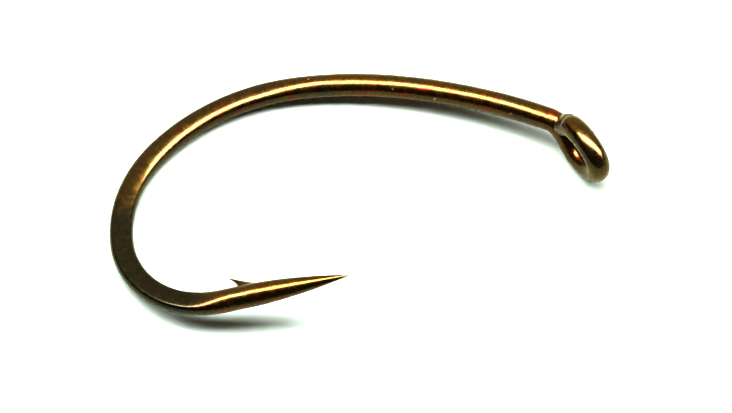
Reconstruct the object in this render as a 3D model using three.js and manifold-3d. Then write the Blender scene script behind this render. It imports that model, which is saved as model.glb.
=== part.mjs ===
// A forged, curved-shank fishing hook with a down-turned ring eye, lying on its side on a table.
// Millimetres, +Z up, +X along the shank towards the eye, +Y towards the back of the shank.
// The hook is drawn in its own plane first, with its origin where the shank meets the eye,
// and is then laid on the table so that it rests on the eye and on the back of its bend.
import * as THREE from "three";
import Module from "manifold-3d";

const degrees = THREE.MathUtils.degToRad;

// Wire
const WIRE_RADIUS = 0.42;
const FORGED_HALF_THICKNESS = 0.28;
const SECTION_SIDES = 20;
const STATION_STEP = 0.28;

// Centre line in the plane of the hook: arcs of (radius, turn), then the straight spear
const SHANK_HEADING = degrees(155.64);
const SHANK_ARCS = [
  [19.48, degrees(17.1)],
  [14.18, degrees(13.87)],
  [7.74, degrees(43.93)],
];
const BEND_ARCS = [
  [5.14, degrees(45.79)],
  [3.41, degrees(88.47)],
];
const SPEAR_LENGTH = 4.64;

// Zones of the wire, as lengths along the centre line from the eye
const BEND_START = 16.4;
const BEND_END = 24.4;
const SPEAR_SPANS = 6;
const POINT_LENGTH = 3.4;
const POINT_FULLNESS = 1.6;
const TIP_RADIUS = 0.012;

// The hammer flattens the second half of the shank a little, and the bend fully
const SHANK_FORGING = 0.5;
const SHANK_FORGING_START = 8.2;
const SHANK_FORGING_RUN = 2.6;
const BEND_FORGING_START = 16.8;
const BEND_FORGING_RUN = 1.8;
const FORGING_RUN_OUT = 1.2;

// The end of the bend and the spear leave the plane of the hook: an offset point
const OFFSET_START = 19.5;
const OFFSET_RUN = 4;
const OFFSET_SLOPE = 0.2;

// Barb: a sliver cut from the inner side of the spear and lifted, with the scoop it leaves
const BARB_ROOT_FROM_TIP = 3.62;
const BARB_LENGTH = 0.88;
const BARB_DEPTH = 0.17;
const BARB_LIFT = degrees(34);
const BARB_CURL = degrees(16);
const BARB_STATIONS = 8;
const BARB_SIDES = 6;
const BARB_HOLLOW = 1.5;
const SCOOP_LENGTH = 0.7;
const SCOOP_DEPTH = 0.06;
const SCOOP_END = 0.28;
const SCOOP_STEP = 1e-3;

// Eye: a flattened ring square to the plane of the hook, turned down from the shank. Its half length
// is measured to the middle of the wire, and so is its half height below and above the hook's plane.
const EYE_REACH = 1.03;
const EYE_LOW = 0.84;
const EYE_HIGH = 0.74;
const EYE_DOWN = degrees(-56);
const EYE_NEAR_POINT = new THREE.Vector3(0.64, -0.45, 0);
const EYE_START = degrees(52);
const EYE_END = degrees(345);
const EYE_STATIONS = 34;
const NECK_STATIONS = 7;
const NECK_PULL = 0.42;

// How the hook lies on the table
const REST_PITCH = degrees(-3.35);
const REST_ROLL = degrees(-1.95);

const smoothstep = THREE.MathUtils.smoothstep;
const UP = new THREE.Vector3(0, 0, 1);

const arcs = [...SHANK_ARCS, ...BEND_ARCS];
const arcLength = ([radius, turn]) => radius * turn;
const WIRE_LENGTH = arcs.reduce((sum, arc) => sum + arcLength(arc), 0) + SPEAR_LENGTH;
const POINT_START = WIRE_LENGTH - POINT_LENGTH;
const BARB_ROOT = WIRE_LENGTH - BARB_ROOT_FROM_TIP;

// Height of the centre line over the plane of the hook, and its slope, at length s
function offsetAt(s) {
  const run = THREE.MathUtils.clamp(s - OFFSET_START, 0, OFFSET_RUN);
  const straight = Math.max(s - OFFSET_START - OFFSET_RUN, 0);
  return {
    height: OFFSET_SLOPE * (run ** 2 / (2 * OFFSET_RUN) + straight),
    slope: (OFFSET_SLOPE * run) / OFFSET_RUN,
  };
}

// The wire's centre and frame at length s: along, across in the plane of the hook, and through it
function stationAt(s) {
  let x = 0;
  let y = 0;
  let heading = SHANK_HEADING;
  let left = s;
  for (const arc of arcs) {
    const [radius, turn] = arc;
    const done = Math.min(left, arcLength(arc)) / radius;
    x += radius * (Math.sin(heading + done) - Math.sin(heading));
    y -= radius * (Math.cos(heading + done) - Math.cos(heading));
    heading += Math.min(done, turn);
    left = Math.max(left - arcLength(arc), 0);
  }
  x += left * Math.cos(heading);
  y += left * Math.sin(heading);
  const { height, slope } = offsetAt(s);
  const along = new THREE.Vector3(Math.cos(heading), Math.sin(heading), slope).normalize();
  const across = new THREE.Vector3(-Math.sin(heading), Math.cos(heading), 0);
  return {
    centre: new THREE.Vector3(x, y, height),
    along,
    across,
    through: along.clone().cross(across),
  };
}

// Radius of the wire at length s: full, then an ogive down to the tip
function radiusAt(s) {
  const left = THREE.MathUtils.clamp((WIRE_LENGTH - s) / POINT_LENGTH, 0, 1);
  const ogive = POINT_FULLNESS * left - (POINT_FULLNESS - 1) * left ** 2;
  return Math.max(WIRE_RADIUS * ogive, TIP_RADIUS);
}

// Share of the forging at length s, from round wire (0) to the full flats (1)
function forgingAt(s) {
  const onShank = smoothstep(s, SHANK_FORGING_START, SHANK_FORGING_START + SHANK_FORGING_RUN);
  const inBend = smoothstep(s, BEND_FORGING_START, BEND_FORGING_START + BEND_FORGING_RUN);
  const runOut = smoothstep(s, BEND_END - FORGING_RUN_OUT, BEND_END);
  return THREE.MathUtils.lerp(SHANK_FORGING * onShank, 1, inBend) * (1 - runOut);
}

// Depth at length s of the scoop that the cut of the barb leaves on the inner side
function scoopAt(s) {
  const end = BARB_ROOT - SCOOP_END;
  const cut = THREE.MathUtils.clamp((s - end + SCOOP_LENGTH) / SCOOP_LENGTH, 0, 1);
  return s > end ? 0 : SCOOP_DEPTH * cut;
}

// One closed loop of the section at length s
function sectionAt(s) {
  const { centre, across, through } = stationAt(s);
  const forging = forgingAt(s);
  const round = radiusAt(s);
  const halfThickness = THREE.MathUtils.lerp(round, FORGED_HALF_THICKNESS, forging);
  const innerLimit = round - scoopAt(s);
  return Array.from({ length: SECTION_SIDES }, (_, k) => {
    const angle = (2 * Math.PI * k) / SECTION_SIDES;
    const a = Math.min(round * Math.cos(angle), innerLimit);
    const b = THREE.MathUtils.clamp(round * Math.sin(angle), -halfThickness, halfThickness);
    return centre.clone().addScaledVector(across, a).addScaledVector(through, b);
  });
}

// A closed skin over loops that all have the same number of points, with a fan at each end
function skin(loops) {
  const sides = loops[0].length;
  const middle = (loop) => loop.reduce((sum, p) => sum.add(p), new THREE.Vector3()).divideScalar(sides);
  const points = [...loops.flat(), middle(loops[0]), middle(loops[loops.length - 1])];
  const firstCentre = points.length - 2;
  const lastCentre = points.length - 1;
  const lastLoop = (loops.length - 1) * sides;
  const index = [];
  for (let k = 0; k < sides; k++) {
    const next = (k + 1) % sides;
    for (let row = 0; row < lastLoop; row += sides) {
      index.push(row + k, row + next, row + sides + next);
      index.push(row + k, row + sides + next, row + sides + k);
    }
    index.push(firstCentre, next, k);
    index.push(lastCentre, lastLoop + k, lastLoop + next);
  }
  const geometry = new THREE.BufferGeometry().setFromPoints(points);
  geometry.setIndex(index);
  return geometry;
}

// Lengths from one end to another in equal spans
function lengthsBetween(from, to, spans) {
  return Array.from({ length: spans + 1 }, (_, k) => THREE.MathUtils.lerp(from, to, k / spans));
}

// The wire from one length to another
function wire(from, to) {
  const spans = Math.ceil((to - from) / STATION_STEP);
  return skin(lengthsBetween(from, to, spans).map(sectionAt));
}

// The spear has one more station on each side of the step at the end of the scoop
function spear() {
  const step = BARB_ROOT - SCOOP_END;
  const before = lengthsBetween(BEND_END, step, SPEAR_SPANS);
  const after = lengthsBetween(step + SCOOP_STEP, POINT_START, 2);
  return skin([...before, ...after].map(sectionAt));
}

// The sliver, from its root to its free end: circle segments that get shallower and narrower,
// along an arc that leaves the wire backwards and curls away from it
function barb() {
  const root = stationAt(BARB_ROOT);
  const back = root.along.clone().negate();
  const base = root.centre.clone().addScaledVector(root.across, WIRE_RADIUS);
  const loops = [];
  for (let k = 0; k < BARB_STATIONS; k++) {
    const share = k / (BARB_STATIONS - 1);
    const depth = Math.max(BARB_DEPTH * (1 - share ** BARB_HOLLOW), TIP_RADIUS);
    const halfWidth = Math.sqrt(WIRE_RADIUS ** 2 - (WIRE_RADIUS - depth) ** 2);
    const lift = BARB_LIFT + BARB_CURL * (share - 1 / 2);
    const direction = back.clone().multiplyScalar(Math.cos(lift)).addScaledVector(root.across, Math.sin(lift));
    const outward = back.clone().multiplyScalar(-Math.sin(lift)).addScaledVector(root.across, Math.cos(lift));
    const centre = base.clone().addScaledVector(direction, BARB_LENGTH * share);
    const loop = [];
    for (let side = 0; side <= BARB_SIDES; side++) {
      const z = halfWidth * Math.cos((Math.PI * side) / BARB_SIDES);
      const sagitta = Math.sqrt(WIRE_RADIUS ** 2 - z ** 2) - WIRE_RADIUS;
      loop.push(centre.clone().addScaledVector(outward, sagitta).addScaledVector(root.through, z));
    }
    const floor = centre.clone().addScaledVector(outward, -depth - TIP_RADIUS);
    loop.push(floor);
    loops.push(loop);
  }
  return skin(loops);
}

// Points, tangents and frames of the neck and the ring, from the shank's end to the cut end
function eyeLoops() {
  const down = new THREE.Vector3(Math.cos(EYE_DOWN), Math.sin(EYE_DOWN), 0);
  const centre = EYE_NEAR_POINT.clone().addScaledVector(down, EYE_REACH);
  const halfHeight = (angle) => (Math.sin(angle) < 0 ? EYE_HIGH : EYE_LOW);
  const ringPoint = (angle) =>
    centre
      .clone()
      .addScaledVector(down, -EYE_REACH * Math.cos(angle))
      .addScaledVector(UP, -halfHeight(angle) * Math.sin(angle));
  const ringTangent = (angle) =>
    down
      .clone()
      .multiplyScalar(EYE_REACH * Math.sin(angle))
      .addScaledVector(UP, -halfHeight(angle) * Math.cos(angle))
      .normalize();
  const shankEnd = stationAt(0);
  const outOfShank = shankEnd.along.clone().negate();
  const start = ringPoint(EYE_START);
  const pull = NECK_PULL * start.distanceTo(shankEnd.centre);
  const neck = new THREE.CubicBezierCurve3(
    shankEnd.centre,
    shankEnd.centre.clone().addScaledVector(outOfShank, pull),
    start.clone().addScaledVector(ringTangent(EYE_START), -pull),
    start,
  );
  const path = [];
  for (let k = 0; k < NECK_STATIONS; k++) {
    const t = k / NECK_STATIONS;
    path.push([neck.getPoint(t), neck.getTangent(t)]);
  }
  for (let k = 0; k <= EYE_STATIONS; k++) {
    const angle = THREE.MathUtils.lerp(EYE_START, EYE_END, k / EYE_STATIONS);
    path.push([ringPoint(angle), ringTangent(angle)]);
  }
  const across = shankEnd.across.clone().negate();
  return path.map(([point, tangent]) => {
    across.addScaledVector(tangent, -across.dot(tangent)).normalize();
    const through = tangent.clone().cross(across);
    return Array.from({ length: SECTION_SIDES }, (_, k) => {
      const angle = (2 * Math.PI * k) / SECTION_SIDES;
      return point
        .clone()
        .addScaledVector(across, WIRE_RADIUS * Math.cos(angle))
        .addScaledVector(through, WIRE_RADIUS * Math.sin(angle));
    });
  });
}

const manifold = await Module();
manifold.setup();

function solid(geometry) {
  return new manifold.Manifold(
    new manifold.Mesh({
      numProp: 3,
      vertProperties: new Float32Array(geometry.getAttribute("position").array),
      triVerts: new Uint32Array(geometry.index.array),
    }),
  );
}

// What is left of one geometry outside another
function cutBy(geometry, tool) {
  const mesh = solid(geometry).subtract(solid(tool)).getMesh();
  const result = new THREE.BufferGeometry();
  result.setAttribute("position", new THREE.BufferAttribute(mesh.vertProperties, 3));
  result.setIndex(new THREE.BufferAttribute(mesh.triVerts, 1));
  return result;
}

const hook = new THREE.Group();

function add(name, geometry, color, roughness) {
  geometry.computeVertexNormals();
  const material = new THREE.MeshStandardMaterial({ color, roughness, metalness: 0.9 });
  const mesh = new THREE.Mesh(geometry, material);
  mesh.name = name;
  hook.add(mesh);
}

const eye = eyeLoops();
add("eye_ring", skin(eye.slice(NECK_STATIONS)), 0x3a2a12, 0.3);
add("eye_neck", skin(eye.slice(0, NECK_STATIONS + 1)), 0x40300f, 0.3);
add("shank", wire(0, BEND_START), 0x4a3413, 0.25);
add("bend", wire(BEND_START, BEND_END), 0x33291a, 0.3);
const spearGeometry = spear();
add("spear", spearGeometry, 0x4a3413, 0.27);
add("barb", cutBy(barb(), spearGeometry), 0x2e2412, 0.35);
add("point", wire(POINT_START, WIRE_LENGTH), 0x5a4216, 0.25);

// Lay the hook on the table, with the middle of its outline over the origin
hook.rotation.set(REST_ROLL, REST_PITCH, 0);
const box = new THREE.Box3().setFromObject(hook, true);
const middle = box.getCenter(new THREE.Vector3());
hook.position.set(-middle.x, -middle.y, -box.min.z);

const part = new THREE.Group();
part.add(hook);

export default part;
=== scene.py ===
import math

import bpy
import numpy as np
from mathutils import Euler, Matrix, Vector


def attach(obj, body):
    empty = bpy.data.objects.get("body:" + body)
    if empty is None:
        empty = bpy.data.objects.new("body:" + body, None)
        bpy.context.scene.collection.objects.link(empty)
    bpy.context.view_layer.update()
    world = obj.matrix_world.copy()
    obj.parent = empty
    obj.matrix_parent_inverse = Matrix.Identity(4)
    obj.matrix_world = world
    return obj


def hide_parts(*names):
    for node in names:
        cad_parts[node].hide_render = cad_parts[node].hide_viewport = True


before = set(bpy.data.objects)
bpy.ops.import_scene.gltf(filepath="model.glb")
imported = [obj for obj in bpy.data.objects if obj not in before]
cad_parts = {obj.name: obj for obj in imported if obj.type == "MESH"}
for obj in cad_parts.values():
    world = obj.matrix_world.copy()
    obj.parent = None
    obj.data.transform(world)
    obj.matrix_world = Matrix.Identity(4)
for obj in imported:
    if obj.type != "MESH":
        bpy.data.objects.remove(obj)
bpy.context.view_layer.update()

bl_info = {
    "name": "Forged fishing hook",
    "version": (1, 0, 0),
    "blender": (4, 5, 0),
    "location": "3D View > Sidebar > Hook",
    "description": "A curved-shank fishing hook of bronze-lacquered wire, zone by zone, on a pale table",
    "category": "Add Mesh",
}

MM = 0.001

# The centre line in the plane of the hook, in mm: arcs of (radius, turn), then the straight spear.
SHANK_HEADING = math.radians(155.64)
ARCS = [
    (19.48, math.radians(17.1)),
    (14.18, math.radians(13.87)),
    (7.74, math.radians(43.93)),
    (5.14, math.radians(45.79)),
    (3.41, math.radians(88.47)),
]
SPEAR_LENGTH = 4.64
WIRE_LENGTH = sum(radius * turn for radius, turn in ARCS) + SPEAR_LENGTH

# Zones of the wire, as lengths along the centre line from the eye, in mm.
BEND_START = 16.4
BEND_END = 24.4
POINT_LENGTH = 3.4
POINT_START = WIRE_LENGTH - POINT_LENGTH

# How flat the hammer leaves the wire, as a share of the bend's flatness, where that starts and how long
# it takes to grow. The hammer also takes away FORGED_EVENNESS of the wire's unevenness.
SHANK_FORGING = 0.5
SHANK_FORGING_START = 8.2
SHANK_FORGING_RUN = 2.6
BEND_FORGING_START = 16.8
BEND_FORGING_RUN = 1.8
RUN_OUT_START = 23.2
RUN_OUT_END = 25.0
FORGED_EVENNESS = 0.5

# The spear leaves the plane of the hook: an offset point.
OFFSET_START = 19.5
OFFSET_RUN = 4.0
OFFSET_SLOPE = 0.2

# The barb's front and back, as (length along the wire, distance from its middle) from root to free end,
# and the scoop that the cut leaves behind it. SCOOP_CORNER is the sharpness of the scoop's edges, and
# UNCUT_REACH is a limit, in radii, that is too far out to cut anything.
BARB_TIP = (24.81, 0.93)
BARB_FRONT = ((26.1, 0.36), (25.52, 0.54), BARB_TIP)
BARB_BACK = ((25.2, 0.26), (25.2, 0.64), BARB_TIP)
BARB_WIDEST = 0.3
BARB_TAPER = 0.35
SCOOP_LENGTH = 1.0
SCOOP_END = 25.3
SCOOP_STEP = 0.03
SCOOP_CORNER = 24
UNCUT_REACH = 5

# The eye: a ring square to the plane of the hook, turned down from the shank. It reaches EYE_LOW below
# that plane and EYE_HIGH above it. Its angles are counted from its near point, down and round. The neck's
# wire is NECK_RUN long.
EYE_DOWN = math.radians(-56)
EYE_NEAR_POINT = np.array([0.64, -0.45, 0.0])
EYE_LOW = 0.84
EYE_HIGH = 0.74
EYE_START = math.radians(52)
EYE_END = math.radians(345)
NECK_PULL = 0.42
NECK_RUN = 1.3
EYE_SWELLING_RUN = 6

# What the shears left at the ring's cut end: (reach along the wire in mm, change of the wire's radius).
BURR = (0.05, 0.12)
PINCH = (0.22, -0.05)
NICK = (0.07, -0.07)
NICK_FROM_END = 0.62
LUMPS = 0.02
LUMPS_START = 0.8
LUMPS_FULL = 0.5
SHEARED_DOME = 0.02
SHEARED_TEAR = 0.012

# How far lacquer is worn off, in mm along the wire, and how much at the tip.
WORN_END = 0.4
WORN_NICK = 0.05
TIP_WEAR = 0.3
TIP_WEAR_LENGTH = 0.5

# How the hook lies on the table: turned about Y and then about X, and placed by the end of its shank.
REST_ROLL = math.radians(-1.95)
REST_PITCH = math.radians(-3.35)
SHANK_END = np.array([6.7178, 3.1807, 1.1449])

# The grid of the skins: points around the wire, steps along it in mm, rows of the other pieces and rings
# in a torn end's disc. The neck's last row lies just before the ring's first, and the wire map counts
# MAP_AROUND mm for each radian around the wire.
AROUND = 96
ANGLES = np.linspace(0, 2 * math.pi, AROUND, endpoint=False)
STEP = 0.05
SPEAR_STEP = 0.02
POINT_STEP = 0.03
TIP_GAP = 1e-3
BARB_ROWS = 60
BARB_LAST_ROW = 0.995
NECK_ROWS = 40
JUST_BEFORE = 1e-9
RING_ROWS = 260
TORN_RINGS = 11
DIFFERENCE = 1e-4
MAP_AROUND = 0.4

# The finish of the baked wire and of the ground steel under the same lacquer.
BAKED_FINISH = {"clouds": 1.0, "peel": 0.8, "lines": 0.5, "roughness": 0.26, "rarity": 0.93, "coat": 0.26}
GROUND_FINISH = {"clouds": 0.5, "peel": 0.8, "lines": 0.7, "roughness": 0.24, "rarity": 0.96, "coat": 0.22}

# The stage: sizes in metres, the card's sides as (left, right, front, back), and each lamp's power as a
# multiple of the tube's.
TABLE_HALF = 0.12
TABLE_MOTTLING = 0.985
CARD_SIDES = (-0.5, 0.5, -0.4, -0.0095)
CARD_HEIGHT = 0.0001
STREAK_SHARE = 3.9
PANEL_SHARE = 3.6
ROOM_LIGHT = (0.098, 0.07, 0.062)
VIEW_GAMMA = 0.7
VIEW_EXPOSURE = 0.3


# ---------------------------------------------------------------- settings


class HookSizes(bpy.types.PropertyGroup):
    """Sizes of the wire and of what is cut and hammered into it."""

    wire_radius: bpy.props.FloatProperty(
        name="Wire radius", description="Half the thickness of the round wire",
        default=0.42 * MM, unit="LENGTH", subtype="DISTANCE", precision=5)
    flat_half_thickness: bpy.props.FloatProperty(
        name="Forged half thickness", description="Half the thickness of the hammered bend",
        default=0.28 * MM, unit="LENGTH", subtype="DISTANCE", precision=5)
    flat_corner: bpy.props.FloatProperty(
        name="Corner sharpness", description="How sharp the corners of the hammered flats are",
        default=4.0, min=2.0, max=40.0)
    tip_radius: bpy.props.FloatProperty(
        name="Tip radius", description="Radius of the very end of the point",
        default=0.014 * MM, unit="LENGTH", subtype="DISTANCE", precision=6)
    point_fullness: bpy.props.FloatProperty(
        name="Point fullness", description="1 is a straight cone, 2 is a round ogive",
        default=1.7, min=1.0, max=2.0)
    eye_radius: bpy.props.FloatProperty(
        name="Eye reach", description="Half the length of the ring, to the middle of its wire",
        default=1.03 * MM, unit="LENGTH", subtype="DISTANCE", precision=5)
    barb_half_width: bpy.props.FloatProperty(
        name="Barb half width", description="Half the width of the sliver at its root",
        default=0.25 * MM, unit="LENGTH", subtype="DISTANCE", precision=5)
    scoop_depth: bpy.props.FloatProperty(
        name="Scoop depth", description="Depth of the cut behind the barb",
        default=0.06 * MM, unit="LENGTH", subtype="DISTANCE", precision=5)
    unevenness: bpy.props.FloatProperty(
        name="Unevenness", description="How far the lacquered skin swells and thins along the wire",
        default=0.0035 * MM, unit="LENGTH", subtype="DISTANCE", precision=6)


class HookLook(bpy.types.PropertyGroup):
    """Colours of the lacquered wire."""

    bronze: bpy.props.FloatVectorProperty(
        name="Bronze", description="Main colour of the lacquered wire",
        default=(0.072, 0.04, 0.006), size=3, min=0.0, max=1.0, subtype="COLOR")
    olive: bpy.props.FloatVectorProperty(
        name="Olive", description="Greener, darker clouds in the lacquer",
        default=(0.045, 0.032, 0.01), size=3, min=0.0, max=1.0, subtype="COLOR")
    rust: bpy.props.FloatVectorProperty(
        name="Red brown", description="Redder clouds in the lacquer",
        default=(0.1, 0.022, 0.004), size=3, min=0.0, max=1.0, subtype="COLOR")
    # Painted shade: the hammered flats' tone is far darker than the bronze. It stands in for the dark room
    # that the flats reflect.
    forged: bpy.props.FloatVectorProperty(
        name="Forged olive", description="Colour of the hammered flats",
        default=(0.02, 0.0165, 0.0075), size=3, min=0.0, max=1.0, subtype="COLOR")
    bare: bpy.props.FloatVectorProperty(
        name="Bare steel", description="Colour of scuffed edges and of the sheared end",
        default=(0.35, 0.33, 0.28), size=3, min=0.0, max=1.0, subtype="COLOR")


class StageLook(bpy.types.PropertyGroup):
    """The table, the strength of the lamps and the camera."""

    elevation: bpy.props.FloatProperty(
        name="Camera elevation", description="Angle of the camera above the table",
        default=math.radians(57.3), unit="ROTATION", subtype="ANGLE")
    roll: bpy.props.FloatProperty(
        name="Camera roll", description="How far the camera is turned about its own line of sight",
        default=math.radians(0.6), unit="ROTATION", subtype="ANGLE")
    view_width: bpy.props.FloatProperty(
        name="View width", description="Width of table that the camera takes in",
        default=26.13 * MM, unit="LENGTH", subtype="DISTANCE", precision=5)
    camera_distance: bpy.props.FloatProperty(
        name="Camera distance", description="From the camera to the middle of the view",
        default=240 * MM, unit="LENGTH", subtype="DISTANCE")
    view_middle: bpy.props.FloatVectorProperty(
        name="View middle", description="The place that the camera is aimed at",
        default=(0.215 * MM, -0.569 * MM, 1.0 * MM), size=3,
        unit="LENGTH", subtype="TRANSLATION", precision=6)
    lamp_strength: bpy.props.FloatProperty(
        name="Lamp strength", description="Power of the long lamp over the table, which the others follow",
        default=4.2, min=0.0, unit="POWER")
    table_colour: bpy.props.FloatVectorProperty(
        name="Table colour", description="Colour of the pale table",
        default=(0.79, 0.92, 0.85), size=3, min=0.0, max=1.0, subtype="COLOR")


# ---------------------------------------------------------------- geometry


def smoothstep(x, low, high):
    """0 below low, 1 above high, and 3t^2 - 2t^3 between them, with t the share of the way."""
    t = np.clip((x - low) / (high - low), 0, 1)
    return t * t * (3 - 2 * t)


def unit(v):
    """The vectors of v with length 1."""
    return v / np.linalg.norm(v, axis=-1, keepdims=True)


def laid_on_table(points):
    """Points of the hook's own plane, in mm, as they lie on the table, in metres."""
    return turned(points) * MM + SHANK_END * MM


def turned(vectors):
    """Vectors turned by the pitch about Y and then by the roll about X."""
    cp, sp = math.cos(REST_PITCH), math.sin(REST_PITCH)
    cr, sr = math.cos(REST_ROLL), math.sin(REST_ROLL)
    pitch = np.array([[cp, 0, sp], [0, 1, 0], [-sp, 0, cp]])
    roll = np.array([[1, 0, 0], [0, cr, -sr], [0, sr, cr]])
    return vectors @ (roll @ pitch).T


def centre_line(s):
    """Centre and frame of the wire at lengths s: on each arc the heading grows by length over radius,
    and the spear rises out of the plane by a parabola that runs into a straight slope. The first arc
    also runs on backwards from the eye, so that differences can be taken there."""
    x, y = np.zeros_like(s), np.zeros_like(s)
    heading = np.full_like(s, SHANK_HEADING)
    left = s
    for index, (radius, turn) in enumerate(ARCS):
        lowest = -np.inf if index == 0 else 0
        done = np.clip(left, lowest, radius * turn) / radius
        x += radius * (np.sin(heading + done) - np.sin(heading))
        y -= radius * (np.cos(heading + done) - np.cos(heading))
        heading += done
        left = np.maximum(left - radius * turn, 0)
    x += left * np.cos(heading)
    y += left * np.sin(heading)
    run = np.clip(s - OFFSET_START, 0, OFFSET_RUN)
    straight = np.maximum(s - OFFSET_START - OFFSET_RUN, 0)
    height = OFFSET_SLOPE * (run**2 / (2 * OFFSET_RUN) + straight)
    slope = OFFSET_SLOPE * run / OFFSET_RUN
    along = unit(np.stack([np.cos(heading), np.sin(heading), slope], -1))
    across = np.stack([-np.sin(heading), np.cos(heading), np.zeros_like(s)], -1)
    return np.stack([x, y, height], -1), along, across, np.cross(along, across)


def soft_clip(x, limit, power):
    """x while it is well under the limit, and the limit past it: x / (1 + |x/limit|^power)^(1/power)."""
    return x / (1 + np.abs(x / limit) ** power) ** (1 / power)


def hump(x, reach):
    """A smooth hump, 1 at x = 0: e to the power of minus (x over reach) squared."""
    return np.exp(-((x / reach) ** 2))


def swelling(s, t):
    """A slow, small change of the wire's radius, within 1 either way: four waves along it, each turned a
    little around it, with (height, waves along, turns around, start)."""
    waves = ((1.0, 1.9, 2, 0.3), (0.7, 4.3, -3, 1.7), (0.5, 8.9, 1, 4.1), (0.35, 15.7, -2, 2.2))
    total = sum(height * np.sin(along * s + turns * t + start) for height, along, turns, start in waves)
    return total / sum(height for height, *_ in waves)


def forged_share(s):
    """How flat the wire is at lengths s: 1 in the bend, 0 at the eye and in the spear. The hammer's mark
    starts half way along the shank, grows at the bend and runs out quickly into the spear. The same share
    turns the colour to the darker forged tone, a painted shade for the dark room that the flats reflect."""
    on_shank = smoothstep(s, SHANK_FORGING_START, SHANK_FORGING_START + SHANK_FORGING_RUN)
    in_bend = smoothstep(s, BEND_FORGING_START, BEND_FORGING_START + BEND_FORGING_RUN)
    struck = SHANK_FORGING * on_shank + (1 - SHANK_FORGING) * in_bend
    return struck * (1 - smoothstep(s, RUN_OUT_START, RUN_OUT_END))


def wire_surface(sizes, s, t):
    """The wire's skin at lengths s and angles t: a slightly uneven circle that an ogive narrows to the
    tip, whose height is softly clipped at the hammered flats, and whose inner side is clipped where the
    barb was cut. The scoop deepens in a straight line and ends in a step."""
    centre, _, across, through = centre_line(s)
    left = np.clip((WIRE_LENGTH - s) / POINT_LENGTH, 0, 1)
    ogive = sizes.point_fullness * left - (sizes.point_fullness - 1) * left**2
    radius = np.maximum(sizes.wire_radius * ogive, sizes.tip_radius) / MM
    forging = forged_share(s)
    uneven = sizes.unevenness / MM * swelling(s, t) * np.minimum(ogive, 1) * (1 - FORGED_EVENNESS * forging)
    a = (radius + uneven) * np.cos(t)
    b = (radius + uneven) * np.sin(t)
    flat = sizes.flat_half_thickness / MM
    hammered = soft_clip(b, flat, sizes.flat_corner)
    b = b + forging * (hammered - b)
    scoop = np.clip((s - SCOOP_END + SCOOP_LENGTH) / SCOOP_LENGTH, 0, 1)
    scoop *= sizes.scoop_depth / MM * (1 - smoothstep(s, SCOOP_END, SCOOP_END + SCOOP_STEP))
    inner = np.where(scoop > 0, radius - scoop, UNCUT_REACH * radius)
    a = np.where(a > 0, soft_clip(a, inner, SCOOP_CORNER), a)
    return centre + a[..., None] * across + b[..., None] * through


def eye_path(sizes, q):
    """Centre and frame of the eye's wire for q from -1 (the shank's end) through 0 (the neck's end) to 1
    (the cut end): a cubic Bezier curve for the neck, then an arc of a ring made of two half ellipses, a
    flatter one above the plane of the hook and a fuller one below it."""
    down = np.array([math.cos(EYE_DOWN), math.sin(EYE_DOWN), 0.0])
    up = np.array([0.0, 0.0, 1.0])
    radius = sizes.eye_radius / MM
    middle = EYE_NEAR_POINT + radius * down

    def ring(angle):
        half_height = np.where(np.sin(angle) < 0, EYE_HIGH, EYE_LOW)
        rise = half_height * np.sin(angle)
        return middle - radius * np.cos(angle)[..., None] * down - rise[..., None] * up

    def ring_tangent(angle):
        half_height = np.where(np.sin(angle) < 0, EYE_HIGH, EYE_LOW)
        rise = half_height * np.cos(angle)
        return unit(radius * np.sin(angle)[..., None] * down - rise[..., None] * up)

    begin = np.zeros(3)
    leave = -np.array([math.cos(SHANK_HEADING), math.sin(SHANK_HEADING), 0.0])
    start = ring(np.array(EYE_START))
    arrive = ring_tangent(np.array(EYE_START))
    pull = NECK_PULL * np.linalg.norm(start - begin)
    p0, p1, p2, p3 = begin, begin + pull * leave, start - pull * arrive, start
    u = np.clip(q + 1, 0, 1)[..., None]
    neck = (1 - u) ** 3 * p0 + 3 * (1 - u) ** 2 * u * p1 + 3 * (1 - u) * u**2 * p2 + u**3 * p3
    neck_tangent = (1 - u) ** 2 * (p1 - p0) + 2 * (1 - u) * u * (p2 - p1) + u**2 * (p3 - p2)
    angle = EYE_START + np.clip(q, 0, 1) * (EYE_END - EYE_START)
    on_ring = (q >= 0)[..., None]
    centre = np.where(on_ring, ring(angle), neck)
    tangent = unit(np.where(on_ring, ring_tangent(angle), neck_tangent))
    axis = np.cross(down, up)
    side = unit(axis - np.sum(axis * tangent, -1, keepdims=True) * tangent)
    return centre, tangent, side, np.cross(tangent, side)


def ring_length(sizes):
    """The length of the ring's wire in mm, to within its flattening: its turn times its reach."""
    return (EYE_END - EYE_START) * sizes.eye_radius / MM


def lump_waves(along, t):
    """Waves around the wire times waves that wind along it."""
    return np.sin(7 * t + 2) * np.sin(13 * along + 2 * t)


def eye_surface(sizes, q, t):
    """The eye's skin: a slightly uneven circle about eye_path. Near the cut end its radius is changed by
    a burr and a pinch, which are humps at the end, a nick, which is a hump further back, and lumps, which
    are waves around the wire times waves along it."""
    centre, _, side, other = eye_path(sizes, q)
    radius = (sizes.wire_radius + sizes.unevenness * swelling(EYE_SWELLING_RUN * q, t)) / MM
    from_end = (1 - q) * ring_length(sizes)
    change = (
        BURR[1] * hump(from_end, BURR[0]) * (0.5 + 0.5 * np.sin(3 * t + 1)) ** 2
        + PINCH[1] * hump(from_end, PINCH[0])
        + NICK[1] * hump(from_end - NICK_FROM_END, NICK[0]) * (0.6 + 0.4 * np.sin(2 * t))
        + LUMPS * (1 - smoothstep(from_end, LUMPS_FULL, LUMPS_START)) * lump_waves(from_end, t)
    )
    radius = radius * (1 + change)
    return centre + (radius * np.cos(t))[..., None] * side + (radius * np.sin(t))[..., None] * other


def eye_wear(from_end, t):
    """How worn the ring is: at its rough cut end, in three patches around the wire, and in the nick."""
    rough_end = (1 - smoothstep(from_end, 0.0, WORN_END)) * (0.45 + 0.4 * np.sin(3 * t + 1))
    nick = hump(from_end - NICK_FROM_END, WORN_NICK) * (0.5 + 0.5 * np.sin(2 * t))
    return np.maximum(rough_end, nick)


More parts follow.
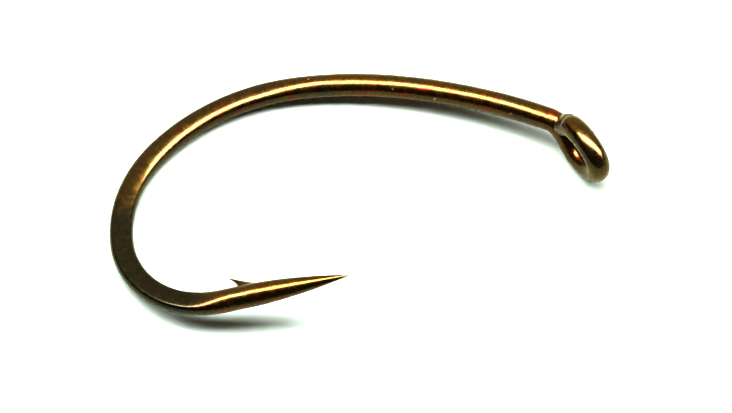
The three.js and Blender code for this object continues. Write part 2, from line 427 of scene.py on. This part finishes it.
def sheared_end(share, angle):
    """How far the sheared face stands out: a quarter sine wave from the rim to the middle, and tears that
    grow towards the middle, a sum of waves across the face in two directions."""
    tear = 0.5 * np.sin(9 * share * np.cos(angle) + 2) + 0.3 * np.sin(14 * share * np.sin(angle))
    return SHEARED_DOME * np.sin(math.pi * np.clip(share, 0, 1) / 2) + SHEARED_TEAR * share * tear


def bezier(points, u):
    """The quadratic Bezier curve of three points of (length along the wire, distance from its middle)."""
    p0, p1, p2 = (np.array(point) for point in points)
    u = u[..., None]
    return (1 - u) ** 2 * p0 + 2 * (1 - u) * u * p1 + u**2 * p2


def barb_surface(sizes, q, t):
    """The barb's skin for q from 0 (buried root) to 1 (free end). Two curves that meet at the free end are
    its front and its hollow back, and each section between them is lens-shaped, widest near the back. Its
    width shrinks with the root of what is left to the free end."""
    front = bezier(BARB_FRONT, q)
    back = bezier(BARB_BACK, q)
    bulge = np.sin(t)
    share = BARB_WIDEST + bulge * np.where(bulge > 0, 1 - BARB_WIDEST, BARB_WIDEST)
    place = back + share[..., None] * (front - back)
    half_width = sizes.barb_half_width / MM * np.sqrt(np.maximum(1 - q, 0)) * (1 - BARB_TAPER * q)
    root, along, across, through = centre_line(place[..., 0])
    return root + place[..., 1:] * across + (half_width * np.cos(t))[..., None] * through


# ---------------------------------------------------------------- meshes


def normals_of(surface, u, t):
    """Unit normals of a surface from the cross product of its central differences."""
    by_t = surface(u, t + DIFFERENCE) - surface(u, t - DIFFERENCE)
    by_u = surface(u + DIFFERENCE, t) - surface(u - DIFFERENCE, t)
    return unit(np.cross(by_t, by_u))


def facet_normals(points, block):
    """One normal for each corner of each face, square to that face."""
    corners = points[block]
    normal = unit(np.cross(corners[:, 1] - corners[:, 0], corners[:, 2] - corners[:, 1]) + 1e-12)
    return np.repeat(normal, block.shape[1], axis=0)


def end_disc(rim, neighbour, rim_ids, first_id, torn=None):
    """The points, faces and outward direction of the disc on a tube's first end: rings that shrink from
    the rim to its middle, and a fan about the middle. A torn disc has torn(share of the way, angle) added
    along its outward direction."""
    middle = rim.mean(0)
    outward = unit(middle - neighbour.mean(0))
    shares = np.linspace(0, 1, TORN_RINGS + 2)[1:-1] if torn else np.array([0.5])
    rings = rim + shares[:, None, None] * (middle - rim)
    if torn:
        rings = rings + torn(shares[:, None], ANGLES[None, :])[..., None] * outward
        middle = middle + torn(1.0, 0.0) * outward
    ring_ids = first_id + np.arange(len(shares) * AROUND).reshape(-1, AROUND)
    loops = np.concatenate([rim_ids[None], ring_ids])
    after = np.roll(loops, -1, axis=1)
    around = np.stack([loops[:-1], loops[1:], after[1:], after[:-1]], -1).reshape(-1, 4)
    fan = np.stack([loops[-1], np.full(AROUND, first_id + ring_ids.size), after[-1]], -1)
    points = np.concatenate([rings.reshape(-1, 3), middle[None]])
    return {"points": points, "faces": [around, fan], "outward": outward}


def tube(name, surface, rows, wear_of=None, forging_of=None, torn_end=None, run=1.0):
    """A closed tube: surface(u, t) at each row u and at each of the ANGLES t, with a disc on each end. The
    last disc is torn where torn_end is given, as end_disc says. The wire map runs along by run millimetres
    for each unit of u."""
    uu, tt = np.meshgrid(rows, ANGLES, indexing="ij")
    points = surface(uu, tt)
    ids = np.arange(uu.size).reshape(uu.shape)
    beside = np.roll(ids, -1, axis=1)
    quads = np.stack([ids[:-1], beside[:-1], beside[1:], ids[1:]], -1).reshape(-1, 4)
    first = end_disc(points[0], points[1], ids[0], uu.size)
    last = end_disc(points[-1], points[-2], ids[-1], uu.size + len(first["points"]), torn_end)
    last["faces"] = [block[:, ::-1] for block in last["faces"]]
    everything = np.concatenate([points.reshape(-1, 3), first["points"], last["points"]])
    faces = [quads, *first["faces"], *last["faces"]]
    normals = [normals_of(surface, uu, tt).reshape(-1, 3)[quads.reshape(-1)]]
    normals += [np.tile(first["outward"], (block.size, 1)) for block in first["faces"]]
    if torn_end:
        normals += [facet_normals(everything, block) for block in last["faces"]]
    else:
        normals += [np.tile(last["outward"], (block.size, 1)) for block in last["faces"]]
    mesh = bpy.data.meshes.new(name)
    mesh.from_pydata(laid_on_table(everything).tolist(), [], [f for block in faces for f in block.tolist()])
    mesh.polygons.foreach_set("use_smooth", np.ones(len(mesh.polygons), bool))
    add_wire_map(mesh, uu * run, tt, len(everything))
    add_attribute(mesh, "wear", wear_of, uu, tt, 1.0 if torn_end else 0.0)
    # The forging share also darkens the colour to the forged tone, a painted shade for the flats' dark
    # reflection.
    add_attribute(mesh, "forging", forging_of, uu, tt, 0.0)
    mesh.update()
    mesh.normals_split_custom_set(turned(np.concatenate(normals)).tolist())
    piece = bpy.data.objects.new(name, mesh)
    bpy.context.scene.collection.objects.link(piece)
    return piece


def add_attribute(mesh, name, of, uu, tt, on_discs):
    """A value for each vertex: of(u, t) on the skin and on_discs on the two discs, or 0 without of."""
    value = np.zeros(len(mesh.vertices), np.float32)
    if of:
        value[: uu.size] = of(uu, tt).reshape(-1)
        value[uu.size :] = on_discs
    mesh.attributes.new(name, "FLOAT", "POINT").data.foreach_set("value", value)


def add_wire_map(mesh, uu, tt, count):
    """A UV map in millimetres: U along the wire and V around it."""
    along = np.zeros(count)
    around = np.zeros(count)
    along[: uu.size] = uu.reshape(-1)
    around[: uu.size] = tt.reshape(-1) * MAP_AROUND
    corner = np.empty(len(mesh.loops), np.int32)
    mesh.loops.foreach_get("vertex_index", corner)
    uv = np.stack([along[corner], around[corner]], -1).astype(np.float32)
    mesh.uv_layers.new(name="wire").data.foreach_set("uv", uv.reshape(-1))


def rows_between(low, high, step=STEP):
    """Evenly spaced stations from low to high, at most step apart."""
    return np.linspace(low, high, math.ceil((high - low) / step) + 1)


def wire_zone(context, name, rows, wear_of=None):
    """One zone of the wire, from its first row to its last."""
    sizes = context.scene.hook_sizes
    return tube(name, lambda s, t: wire_surface(sizes, s, t), rows, wear_of, lambda s, t: forged_share(s))


def finish_piece(piece, node, material):
    """Give a piece its material and its body, and hide the CAD node that it stands for."""
    piece.data.materials.append(material)
    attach(piece, "root")
    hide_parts(node)


# ---------------------------------------------------------------- shader groups


def new_group(name, inputs, outputs):
    """A shader node group with its sockets: (name, socket type, default) in, (name, socket type) out."""
    group = bpy.data.node_groups.new(name, "ShaderNodeTree")
    for label, kind, default in inputs:
        socket = group.interface.new_socket(label, in_out="INPUT", socket_type=kind)
        if default is not None:
            socket.default_value = default
    for label, kind in outputs:
        group.interface.new_socket(label, in_out="OUTPUT", socket_type=kind)
    return group, group.nodes.new("NodeGroupInput"), group.nodes.new("NodeGroupOutput")


def feed(tree, socket, value):
    """Set a socket to a number or a colour, or link another socket to it."""
    if isinstance(value, (int, float, tuple)):
        socket.default_value = value
    else:
        tree.links.new(value, socket)


def noise(tree, vector, scale, detail=3.0, roughness=0.5, distortion=0.0):
    """A noise texture on a vector, giving its value."""
    made = tree.nodes.new("ShaderNodeTexNoise")
    made.inputs["Scale"].default_value = scale
    made.inputs["Detail"].default_value = detail
    made.inputs["Roughness"].default_value = roughness
    made.inputs["Distortion"].default_value = distortion
    feed(tree, made.inputs["Vector"], vector)
    return made.outputs["Fac"]


def ramp(tree, value, low, high, out_low=0.0, out_high=1.0):
    """A clamped straight-line change of a value from low..high to out_low..out_high."""
    made = tree.nodes.new("ShaderNodeMapRange")
    made.inputs["From Min"].default_value = low
    made.inputs["From Max"].default_value = high
    made.inputs["To Min"].default_value = out_low
    made.inputs["To Max"].default_value = out_high
    feed(tree, made.inputs["Value"], value)
    return made.outputs["Result"]


def math_of(tree, operation, a, b):
    """One Math node on two values or sockets."""
    made = tree.nodes.new("ShaderNodeMath")
    made.operation = operation
    feed(tree, made.inputs[0], a)
    feed(tree, made.inputs[1], b)
    return made.outputs["Value"]


def mix(tree, factor, a, b):
    """A colour between two colours or sockets."""
    made = tree.nodes.new("ShaderNodeMix")
    made.data_type = "RGBA"
    feed(tree, made.inputs["Factor"], factor)
    feed(tree, made.inputs["A"], a)
    feed(tree, made.inputs["B"], b)
    return made.outputs["Result"]


def attribute(tree, name):
    """The value of one of the mesh's own attributes."""
    made = tree.nodes.new("ShaderNodeAttribute")
    made.attribute_name = name
    return made.outputs["Fac"]


def colour(value):
    """A colour property as the four numbers of a socket."""
    return (*value, 1.0)


def lacquer_clouds():
    """Group: the colour of baked lacquer. Olive and red-brown clouds lie over the main tone, the whole gives
    way to the plain, darker forged tone where the wire is hammered, a painted shade for the dark room that
    the flats reflect, and a fine grain lies over all of it."""
    group, given, out = new_group(
        "lacquer_clouds",
        [("Position", "NodeSocketVector", None), ("Bronze", "NodeSocketColor", None),
         ("Olive", "NodeSocketColor", None), ("Rust", "NodeSocketColor", None),
         ("Forged", "NodeSocketColor", None), ("Forging", "NodeSocketFloat", 0.0),
         ("Amount", "NodeSocketFloat", 1.0)],
        [("Color", "NodeSocketColor")],
    )
    position, forging = given.outputs["Position"], given.outputs["Forging"]
    green_clouds = noise(group, position, scale=620, detail=4, roughness=0.6, distortion=0.4)
    red_clouds = noise(group, position, scale=1050, roughness=0.55, distortion=0.8)
    olive = ramp(group, green_clouds, 0.46, 0.66)
    rust = ramp(group, red_clouds, 0.52, 0.68)
    grain = ramp(group, noise(group, position, scale=9000, roughness=0.6), 0.3, 0.7, 0.75, 1.25)
    amount = math_of(group, "MULTIPLY", math_of(group, "SUBTRACT", 1.0, forging), given.outputs["Amount"])
    # Painted shade: the hammered wire takes the dark forged tone, for the dark room that the flats reflect.
    tone = mix(group, forging, given.outputs["Bronze"], given.outputs["Forged"])
    tone = mix(group, math_of(group, "MULTIPLY", olive, amount), tone, given.outputs["Olive"])
    tone = mix(group, math_of(group, "MULTIPLY", rust, amount), tone, given.outputs["Rust"])
    scaled = group.nodes.new("ShaderNodeVectorMath")
    scaled.operation = "SCALE"
    feed(group, scaled.inputs[0], tone)
    feed(group, scaled.inputs["Scale"], grain)
    feed(group, out.inputs["Color"], scaled.outputs[0])
    return group


def lacquer_skin():
    """Group: the skin's height and its change of roughness. Fine orange peel, coarser waves and lines drawn
    along the wire add up to the height, and the coarser waves alone change the roughness."""
    group, given, out = new_group(
        "lacquer_skin",
        [("Position", "NodeSocketVector", None), ("Wire Map", "NodeSocketVector", None),
         ("Peel", "NodeSocketFloat", 0.5), ("Drawn Lines", "NodeSocketFloat", 0.5)],
        [("Height", "NodeSocketFloat"), ("Roughness", "NodeSocketFloat")],
    )
    position = given.outputs["Position"]
    peel = noise(group, position, scale=14000, detail=2)
    coarse = noise(group, position, scale=4200, detail=2)
    stretch = group.nodes.new("ShaderNodeMapping")
    stretch.inputs["Scale"].default_value = (0.55, 26.0, 1.0)
    feed(group, stretch.inputs["Vector"], given.outputs["Wire Map"])
    lines = noise(group, stretch.outputs["Vector"], scale=1.0, roughness=0.6)
    height = math_of(group, "MULTIPLY", peel, given.outputs["Peel"])
    height = math_of(group, "ADD", height, math_of(group, "MULTIPLY", coarse, 0.5))
    height = math_of(group, "ADD", height, math_of(group, "MULTIPLY", lines, given.outputs["Drawn Lines"]))
    feed(group, out.inputs["Height"], height)
    feed(group, out.inputs["Roughness"], ramp(group, coarse, 0.3, 0.7, -0.05, 0.07))
    return group


def dust_flecks():
    """Group: a mask of scattered pale flecks: ragged dots in the middles of those cells of a Voronoi
    texture whose random red value is over the rarity."""
    group, given, out = new_group(
        "dust_flecks",
        [("Position", "NodeSocketVector", None), ("Rarity", "NodeSocketFloat", 0.8)],
        [("Mask", "NodeSocketFloat")],
    )
    cells = group.nodes.new("ShaderNodeTexVoronoi")
    cells.inputs["Scale"].default_value = 2600
    feed(group, cells.inputs["Vector"], given.outputs["Position"])
    separate = group.nodes.new("ShaderNodeSeparateColor")
    feed(group, separate.inputs["Color"], cells.outputs["Color"])
    rare = math_of(group, "GREATER_THAN", separate.outputs["Red"], given.outputs["Rarity"])
    dot = ramp(group, cells.outputs["Distance"], 0.10, 0.2, 1.0, 0.0)
    ragged = ramp(group, noise(group, given.outputs["Position"], scale=22000, detail=2), 0.45, 0.6)
    feed(group, out.inputs["Mask"], math_of(group, "MULTIPLY", math_of(group, "MULTIPLY", rare, dot), ragged))
    return group


def bare_places():
    """Group: a mask of bare steel: in torn patches where the wire is worn, and under most of each fleck."""
    group, given, out = new_group(
        "bare_places",
        [("Position", "NodeSocketVector", None), ("Wear", "NodeSocketFloat", 0.0),
         ("Flecks", "NodeSocketFloat", 0.0)],
        [("Mask", "NodeSocketFloat")],
    )
    patches = noise(group, given.outputs["Position"], scale=16000, detail=4, roughness=0.7)
    worn = math_of(group, "MULTIPLY", given.outputs["Wear"], ramp(group, patches, 0.35, 0.65))
    flecks = math_of(group, "MULTIPLY", given.outputs["Flecks"], 0.8)
    feed(group, out.inputs["Mask"], math_of(group, "MAXIMUM", worn, flecks))
    return group


def place_group(tree, maker, inputs):
    """A shader group in a material, made at its first use, with each of its inputs set or linked."""
    placed = tree.nodes.new("ShaderNodeGroup")
    placed.node_tree = bpy.data.node_groups.get(maker.__name__) or maker()
    for label, value in inputs.items():
        feed(tree, placed.inputs[label], value)
    return placed.outputs


# ---------------------------------------------------------------- materials


def lacquer_material(name, clouds, peel, lines, roughness, rarity, coat):
    """Bronze lacquer over steel: a tinted metal with clouds, grain and flecks, bare where it is worn. It
    is given how strong the clouds, the orange peel and the drawn lines are, its roughness, how rare the
    flecks are and the weight of its clear coat."""
    found = bpy.data.materials.get(name)
    if found:
        return found
    look = bpy.context.scene.hook_look
    material = bpy.data.materials.new(name)
    material.use_nodes = True
    tree = material.node_tree
    shader = tree.nodes["Principled BSDF"]
    position = tree.nodes.new("ShaderNodeTexCoord").outputs["Object"]
    wire = tree.nodes.new("ShaderNodeUVMap")
    wire.uv_map = "wire"
    tone = place_group(tree, lacquer_clouds, {
        "Position": position, "Bronze": colour(look.bronze), "Olive": colour(look.olive),
        # The forged colour is painted shade for the dark room that the hammered flats reflect.
        "Rust": colour(look.rust), "Forged": colour(look.forged),
        "Forging": attribute(tree, "forging"), "Amount": clouds})["Color"]
    skin = place_group(tree, lacquer_skin, {
        "Position": position, "Wire Map": wire.outputs["UV"], "Peel": peel, "Drawn Lines": lines})
    flecks = place_group(tree, dust_flecks, {"Position": position, "Rarity": rarity})["Mask"]
    bare = place_group(tree, bare_places, {
        "Position": position, "Wear": attribute(tree, "wear"), "Flecks": flecks})["Mask"]
    feed(tree, shader.inputs["Base Color"], mix(tree, bare, tone, colour(look.bare)))
    rough = math_of(tree, "ADD", skin["Roughness"], roughness)
    rough = math_of(tree, "ADD", rough, math_of(tree, "MULTIPLY", bare, 0.35))
    feed(tree, shader.inputs["Roughness"], rough)
    metal = math_of(tree, "SUBTRACT", 0.96, math_of(tree, "MULTIPLY", bare, 0.5))
    feed(tree, shader.inputs["Metallic"], metal)
    shader.inputs["Specular Tint"].default_value = (1.0, 0.96, 0.74, 1.0)
    shader.inputs["Coat Weight"].default_value = coat
    shader.inputs["Coat Roughness"].default_value = 0.12
    shader.inputs["Coat IOR"].default_value = 1.5
    bump = tree.nodes.new("ShaderNodeBump")
    bump.inputs["Strength"].default_value = 0.35
    bump.inputs["Distance"].default_value = 0.006 * MM
    feed(tree, bump.inputs["Height"], skin["Height"])
    feed(tree, shader.inputs["Normal"], bump.outputs["Normal"])
    return material


def drawn_wire():
    """The lacquered round wire of the shank, the eye and the spear."""
    return lacquer_material("bronze_lacquer", **BAKED_FINISH)


def forged_flats():
    """The lacquered, hammered bend."""
    return lacquer_material("forged_lacquer", **BAKED_FINISH)


def cut_steel():
    """The lacquered barb and point, cut and ground before they were lacquered."""
    return lacquer_material("ground_lacquer", **GROUND_FINISH)


def mottled_material(name, one, other, scale, roughness):
    """A matt material that wanders between two colours by noise."""
    material = bpy.data.materials.new(name)
    material.use_nodes = True
    tree = material.node_tree
    shader = tree.nodes["Principled BSDF"]
    position = tree.nodes.new("ShaderNodeTexCoord").outputs["Object"]
    mottle = ramp(tree, noise(tree, position, scale), 0.3, 0.7)
    feed(tree, shader.inputs["Base Color"], mix(tree, mottle, one, other))
    shader.inputs["Roughness"].default_value = roughness
    return material


def table_top():
    """A pale, matt table with faint mottling, a little darker than its own colour."""
    base = bpy.context.scene.stage_look.table_colour
    darker = [TABLE_MOTTLING * part for part in base]
    material = mottled_material("pale_table", colour(base), colour(darker), scale=300, roughness=0.6)
    material.node_tree.nodes["Principled BSDF"].inputs["Specular IOR Level"].default_value = 0.0
    return material


def black_felt():
    """The black felt of the card."""
    return mottled_material("black_card", colour([0.01] * 3), colour([0.03] * 3), scale=900, roughness=0.9)


# ---------------------------------------------------------------- operators


class MakeShank(bpy.types.Operator):
    """Make the round wire from the eye to the forging"""

    bl_idname = "hook.make_shank"
    bl_label = "Shank"

    def execute(self, context):
        piece = wire_zone(context, "shank_wire", rows_between(0, BEND_START))
        finish_piece(piece, "shank", drawn_wire())
        return {"FINISHED"}


class MakeBend(bpy.types.Operator):
    """Make the forged bend with its two flats"""

    bl_idname = "hook.make_bend"
    bl_label = "Bend"

    def execute(self, context):
        piece = wire_zone(context, "bend_forged", rows_between(BEND_START, BEND_END))
        finish_piece(piece, "bend", forged_flats())
        return {"FINISHED"}


class MakeSpear(bpy.types.Operator):
    """Make the spear, with the scoop behind the barb"""

    bl_idname = "hook.make_spear"
    bl_label = "Spear"

    def execute(self, context):
        piece = wire_zone(context, "spear_wire", rows_between(BEND_END, POINT_START, SPEAR_STEP))
        finish_piece(piece, "spear", drawn_wire())
        return {"FINISHED"}


class MakePoint(bpy.types.Operator):
    """Make the long needle point, a little worn at its tip"""

    bl_idname = "hook.make_point"
    bl_label = "Point"

    def execute(self, context):
        def wear(s, t):
            return TIP_WEAR * smoothstep(s, WIRE_LENGTH - TIP_WEAR_LENGTH, WIRE_LENGTH)

        rows = rows_between(POINT_START, WIRE_LENGTH - TIP_GAP, POINT_STEP)
        piece = wire_zone(context, "point_needle", rows, wear)
        finish_piece(piece, "point", cut_steel())
        return {"FINISHED"}


class MakeBarb(bpy.types.Operator):
    """Make the lifted sliver of the barb"""

    bl_idname = "hook.make_barb"
    bl_label = "Barb"

    def execute(self, context):
        sizes = context.scene.hook_sizes
        rows = np.linspace(0, BARB_LAST_ROW, BARB_ROWS)
        piece = tube("barb_sliver", lambda q, t: barb_surface(sizes, q, t), rows)
        finish_piece(piece, "barb", cut_steel())
        return {"FINISHED"}


class MakeEye(bpy.types.Operator):
    """Make the neck and the ring of the eye, up to its sheared end"""

    bl_idname = "hook.make_eye"
    bl_label = "Eye"

    def execute(self, context):
        sizes = context.scene.hook_sizes

        def skin(q, t):
            return eye_surface(sizes, q, t)

        def wear(q, t):
            return eye_wear((1 - q) * ring_length(sizes), t)

        neck_rows = np.linspace(-1, 0, NECK_ROWS) - JUST_BEFORE
        neck = tube("eye_neck_wire", skin, neck_rows, run=NECK_RUN)
        finish_piece(neck, "eye_neck", drawn_wire())
        ring_rows = np.linspace(0, 1, RING_ROWS)
        ring = tube("eye_ring_wire", skin, ring_rows, wear, torn_end=sheared_end, run=ring_length(sizes))
        finish_piece(ring, "eye_ring", drawn_wire())
        return {"FINISHED"}


class MakeStage(bpy.types.Operator):
    """Make the table, the card that only reflections see, the lamps, the room and the camera"""

    bl_idname = "hook.make_stage"
    bl_label = "Table, lamps and camera"

    def execute(self, context):
        stage = context.scene.stage_look
        make_table()
        make_black_card()
        make_lamps(stage)
        make_room(context.scene)
        make_camera(context.scene, stage)
        return {"FINISHED"}


# ---------------------------------------------------------------- stage


def level_sheet(name, left, right, front, back, height, material):
    """A level rectangle of one material."""
    mesh = bpy.data.meshes.new(name)
    corners = [(left, front, height), (right, front, height), (right, back, height), (left, back, height)]
    mesh.from_pydata(corners, [], [(0, 1, 2, 3)])
    mesh.materials.append(material)
    sheet = bpy.data.objects.new(name, mesh)
    bpy.context.scene.collection.objects.link(sheet)
    return sheet


def make_table():
    """A plain square of table. Past its edge the room is as white as the lit table."""
    table = level_sheet("table", -TABLE_HALF, TABLE_HALF, -TABLE_HALF, TABLE_HALF, 0, table_top())


def make_black_card():
    """A black card in front of the hook, which only what is glossy sees: it keeps the lower side dark."""
    card = level_sheet("black_card", *CARD_SIDES, CARD_HEIGHT, black_felt())
    card.visible_camera = False
    card.visible_diffuse = False
    card.visible_shadow = False


def aimed_lamp(name, direction, distance, width, depth, power, tint):
    """A rectangular lamp in a direction from the hook, facing it, its long side level."""
    aim = Vector(direction).normalized()
    level = Vector((1, 0, 0)) - aim.x * aim
    level.normalize()
    turn = Matrix((level, aim.cross(level), aim)).transposed()
    data = bpy.data.lights.new(name, "AREA")
    data.shape = "RECTANGLE"
    data.size = width
    data.size_y = depth
    data.energy = power
    data.color = tint
    lamp = bpy.data.objects.new(name, data)
    lamp.location = aim * distance
    lamp.rotation_euler = turn.to_euler()
    bpy.context.scene.collection.objects.link(lamp)
    return lamp


def make_lamps(stage):
    """Two long tubes overhead, side by side: one lights the table and so makes the shadow, and the other
    makes the streak along the wire. A wide dim panel behind gives the upper side its colour."""
    power = stage.lamp_strength
    tube_lamp = aimed_lamp("tube_lamp", direction=(-0.1, 0.1, 1.0), distance=0.3, width=1.0, depth=0.14,
                           power=power, tint=(1.0, 0.99, 0.97))
    streak_lamp = aimed_lamp("streak_lamp", direction=(0.25, -0.04, 1.0), distance=0.3, width=0.9, depth=0.15,
                             power=STREAK_SHARE * power, tint=(1.0, 0.97, 0.9))
    back_panel = aimed_lamp("back_panel", direction=(0.0, 0.75, 0.66), distance=0.8, width=2.4, depth=1.4,
                            power=PANEL_SHARE * power, tint=(1.0, 0.9, 0.6))
    tube_lamp.visible_glossy = False
    streak_lamp.visible_diffuse = False
    back_panel.visible_diffuse = False


def make_room(scene):
    """White where the camera sees past the table, and a dim room for everything else."""
    world = bpy.data.worlds.new("room")
    world.use_nodes = True
    tree = world.node_tree
    background = tree.nodes["Background"]
    rays = tree.nodes.new("ShaderNodeLightPath")
    seen = mix(tree, rays.outputs["Is Camera Ray"], colour(ROOM_LIGHT), colour([1.0] * 3))
    feed(tree, background.inputs["Color"], seen)
    background.inputs["Strength"].default_value = 1.0
    scene.world = world


def make_camera(scene, stage):
    """A long lens on the front of the hook, aimed at the middle of its outline."""
    data = bpy.data.cameras.new("camera")
    data.sensor_width = 36.0
    data.lens = data.sensor_width * stage.camera_distance / stage.view_width
    data.clip_start = 0.01
    camera = bpy.data.objects.new("camera", data)
    away = Vector((0, -math.cos(stage.elevation), math.sin(stage.elevation)))
    camera.location = Vector(stage.view_middle) + away * stage.camera_distance
    camera.rotation_euler = Euler((math.pi / 2 - stage.elevation, 0, 0))
    camera.rotation_euler.rotate_axis("Z", stage.roll)
    scene.collection.objects.link(camera)
    scene.camera = camera
    scene.view_settings.view_transform = "Standard"
    scene.view_settings.look = "None"
    scene.view_settings.gamma = VIEW_GAMMA
    scene.view_settings.exposure = VIEW_EXPOSURE


# ---------------------------------------------------------------- panel


class HookPanel(bpy.types.Panel):
    """Sizes, colours and the buttons that make each piece"""

    bl_idname = "VIEW3D_PT_hook"
    bl_label = "Forged hook"
    bl_space_type = "VIEW_3D"
    bl_region_type = "UI"
    bl_category = "Hook"

    def draw(self, context):
        layout = self.layout
        for group in (context.scene.hook_sizes, context.scene.hook_look, context.scene.stage_look):
            box = layout.box()
            for name in group.bl_rna.properties.keys():
                if name not in ("rna_type", "name"):
                    box.prop(group, name)
        for operator in OPERATORS:
            layout.operator(operator.bl_idname)


OPERATORS = (MakeShank, MakeBend, MakeSpear, MakePoint, MakeBarb, MakeEye, MakeStage)
SETTINGS = {"hook_sizes": HookSizes, "hook_look": HookLook, "stage_look": StageLook}


def register():
    for cls in (*SETTINGS.values(), *OPERATORS, HookPanel):
        bpy.utils.register_class(cls)
    for name, cls in SETTINGS.items():
        setattr(bpy.types.Scene, name, bpy.props.PointerProperty(type=cls))


def unregister():
    for name in SETTINGS:
        delattr(bpy.types.Scene, name)
    for cls in reversed((*SETTINGS.values(), *OPERATORS, HookPanel)):
        bpy.utils.unregister_class(cls)


def main():
    """Register the classes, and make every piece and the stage."""
    register()
    bpy.ops.hook.make_shank()
    bpy.ops.hook.make_bend()
    bpy.ops.hook.make_spear()
    bpy.ops.hook.make_point()
    bpy.ops.hook.make_barb()
    bpy.ops.hook.make_eye()
    bpy.ops.hook.make_stage()


if __name__ == "__main__":
    main()
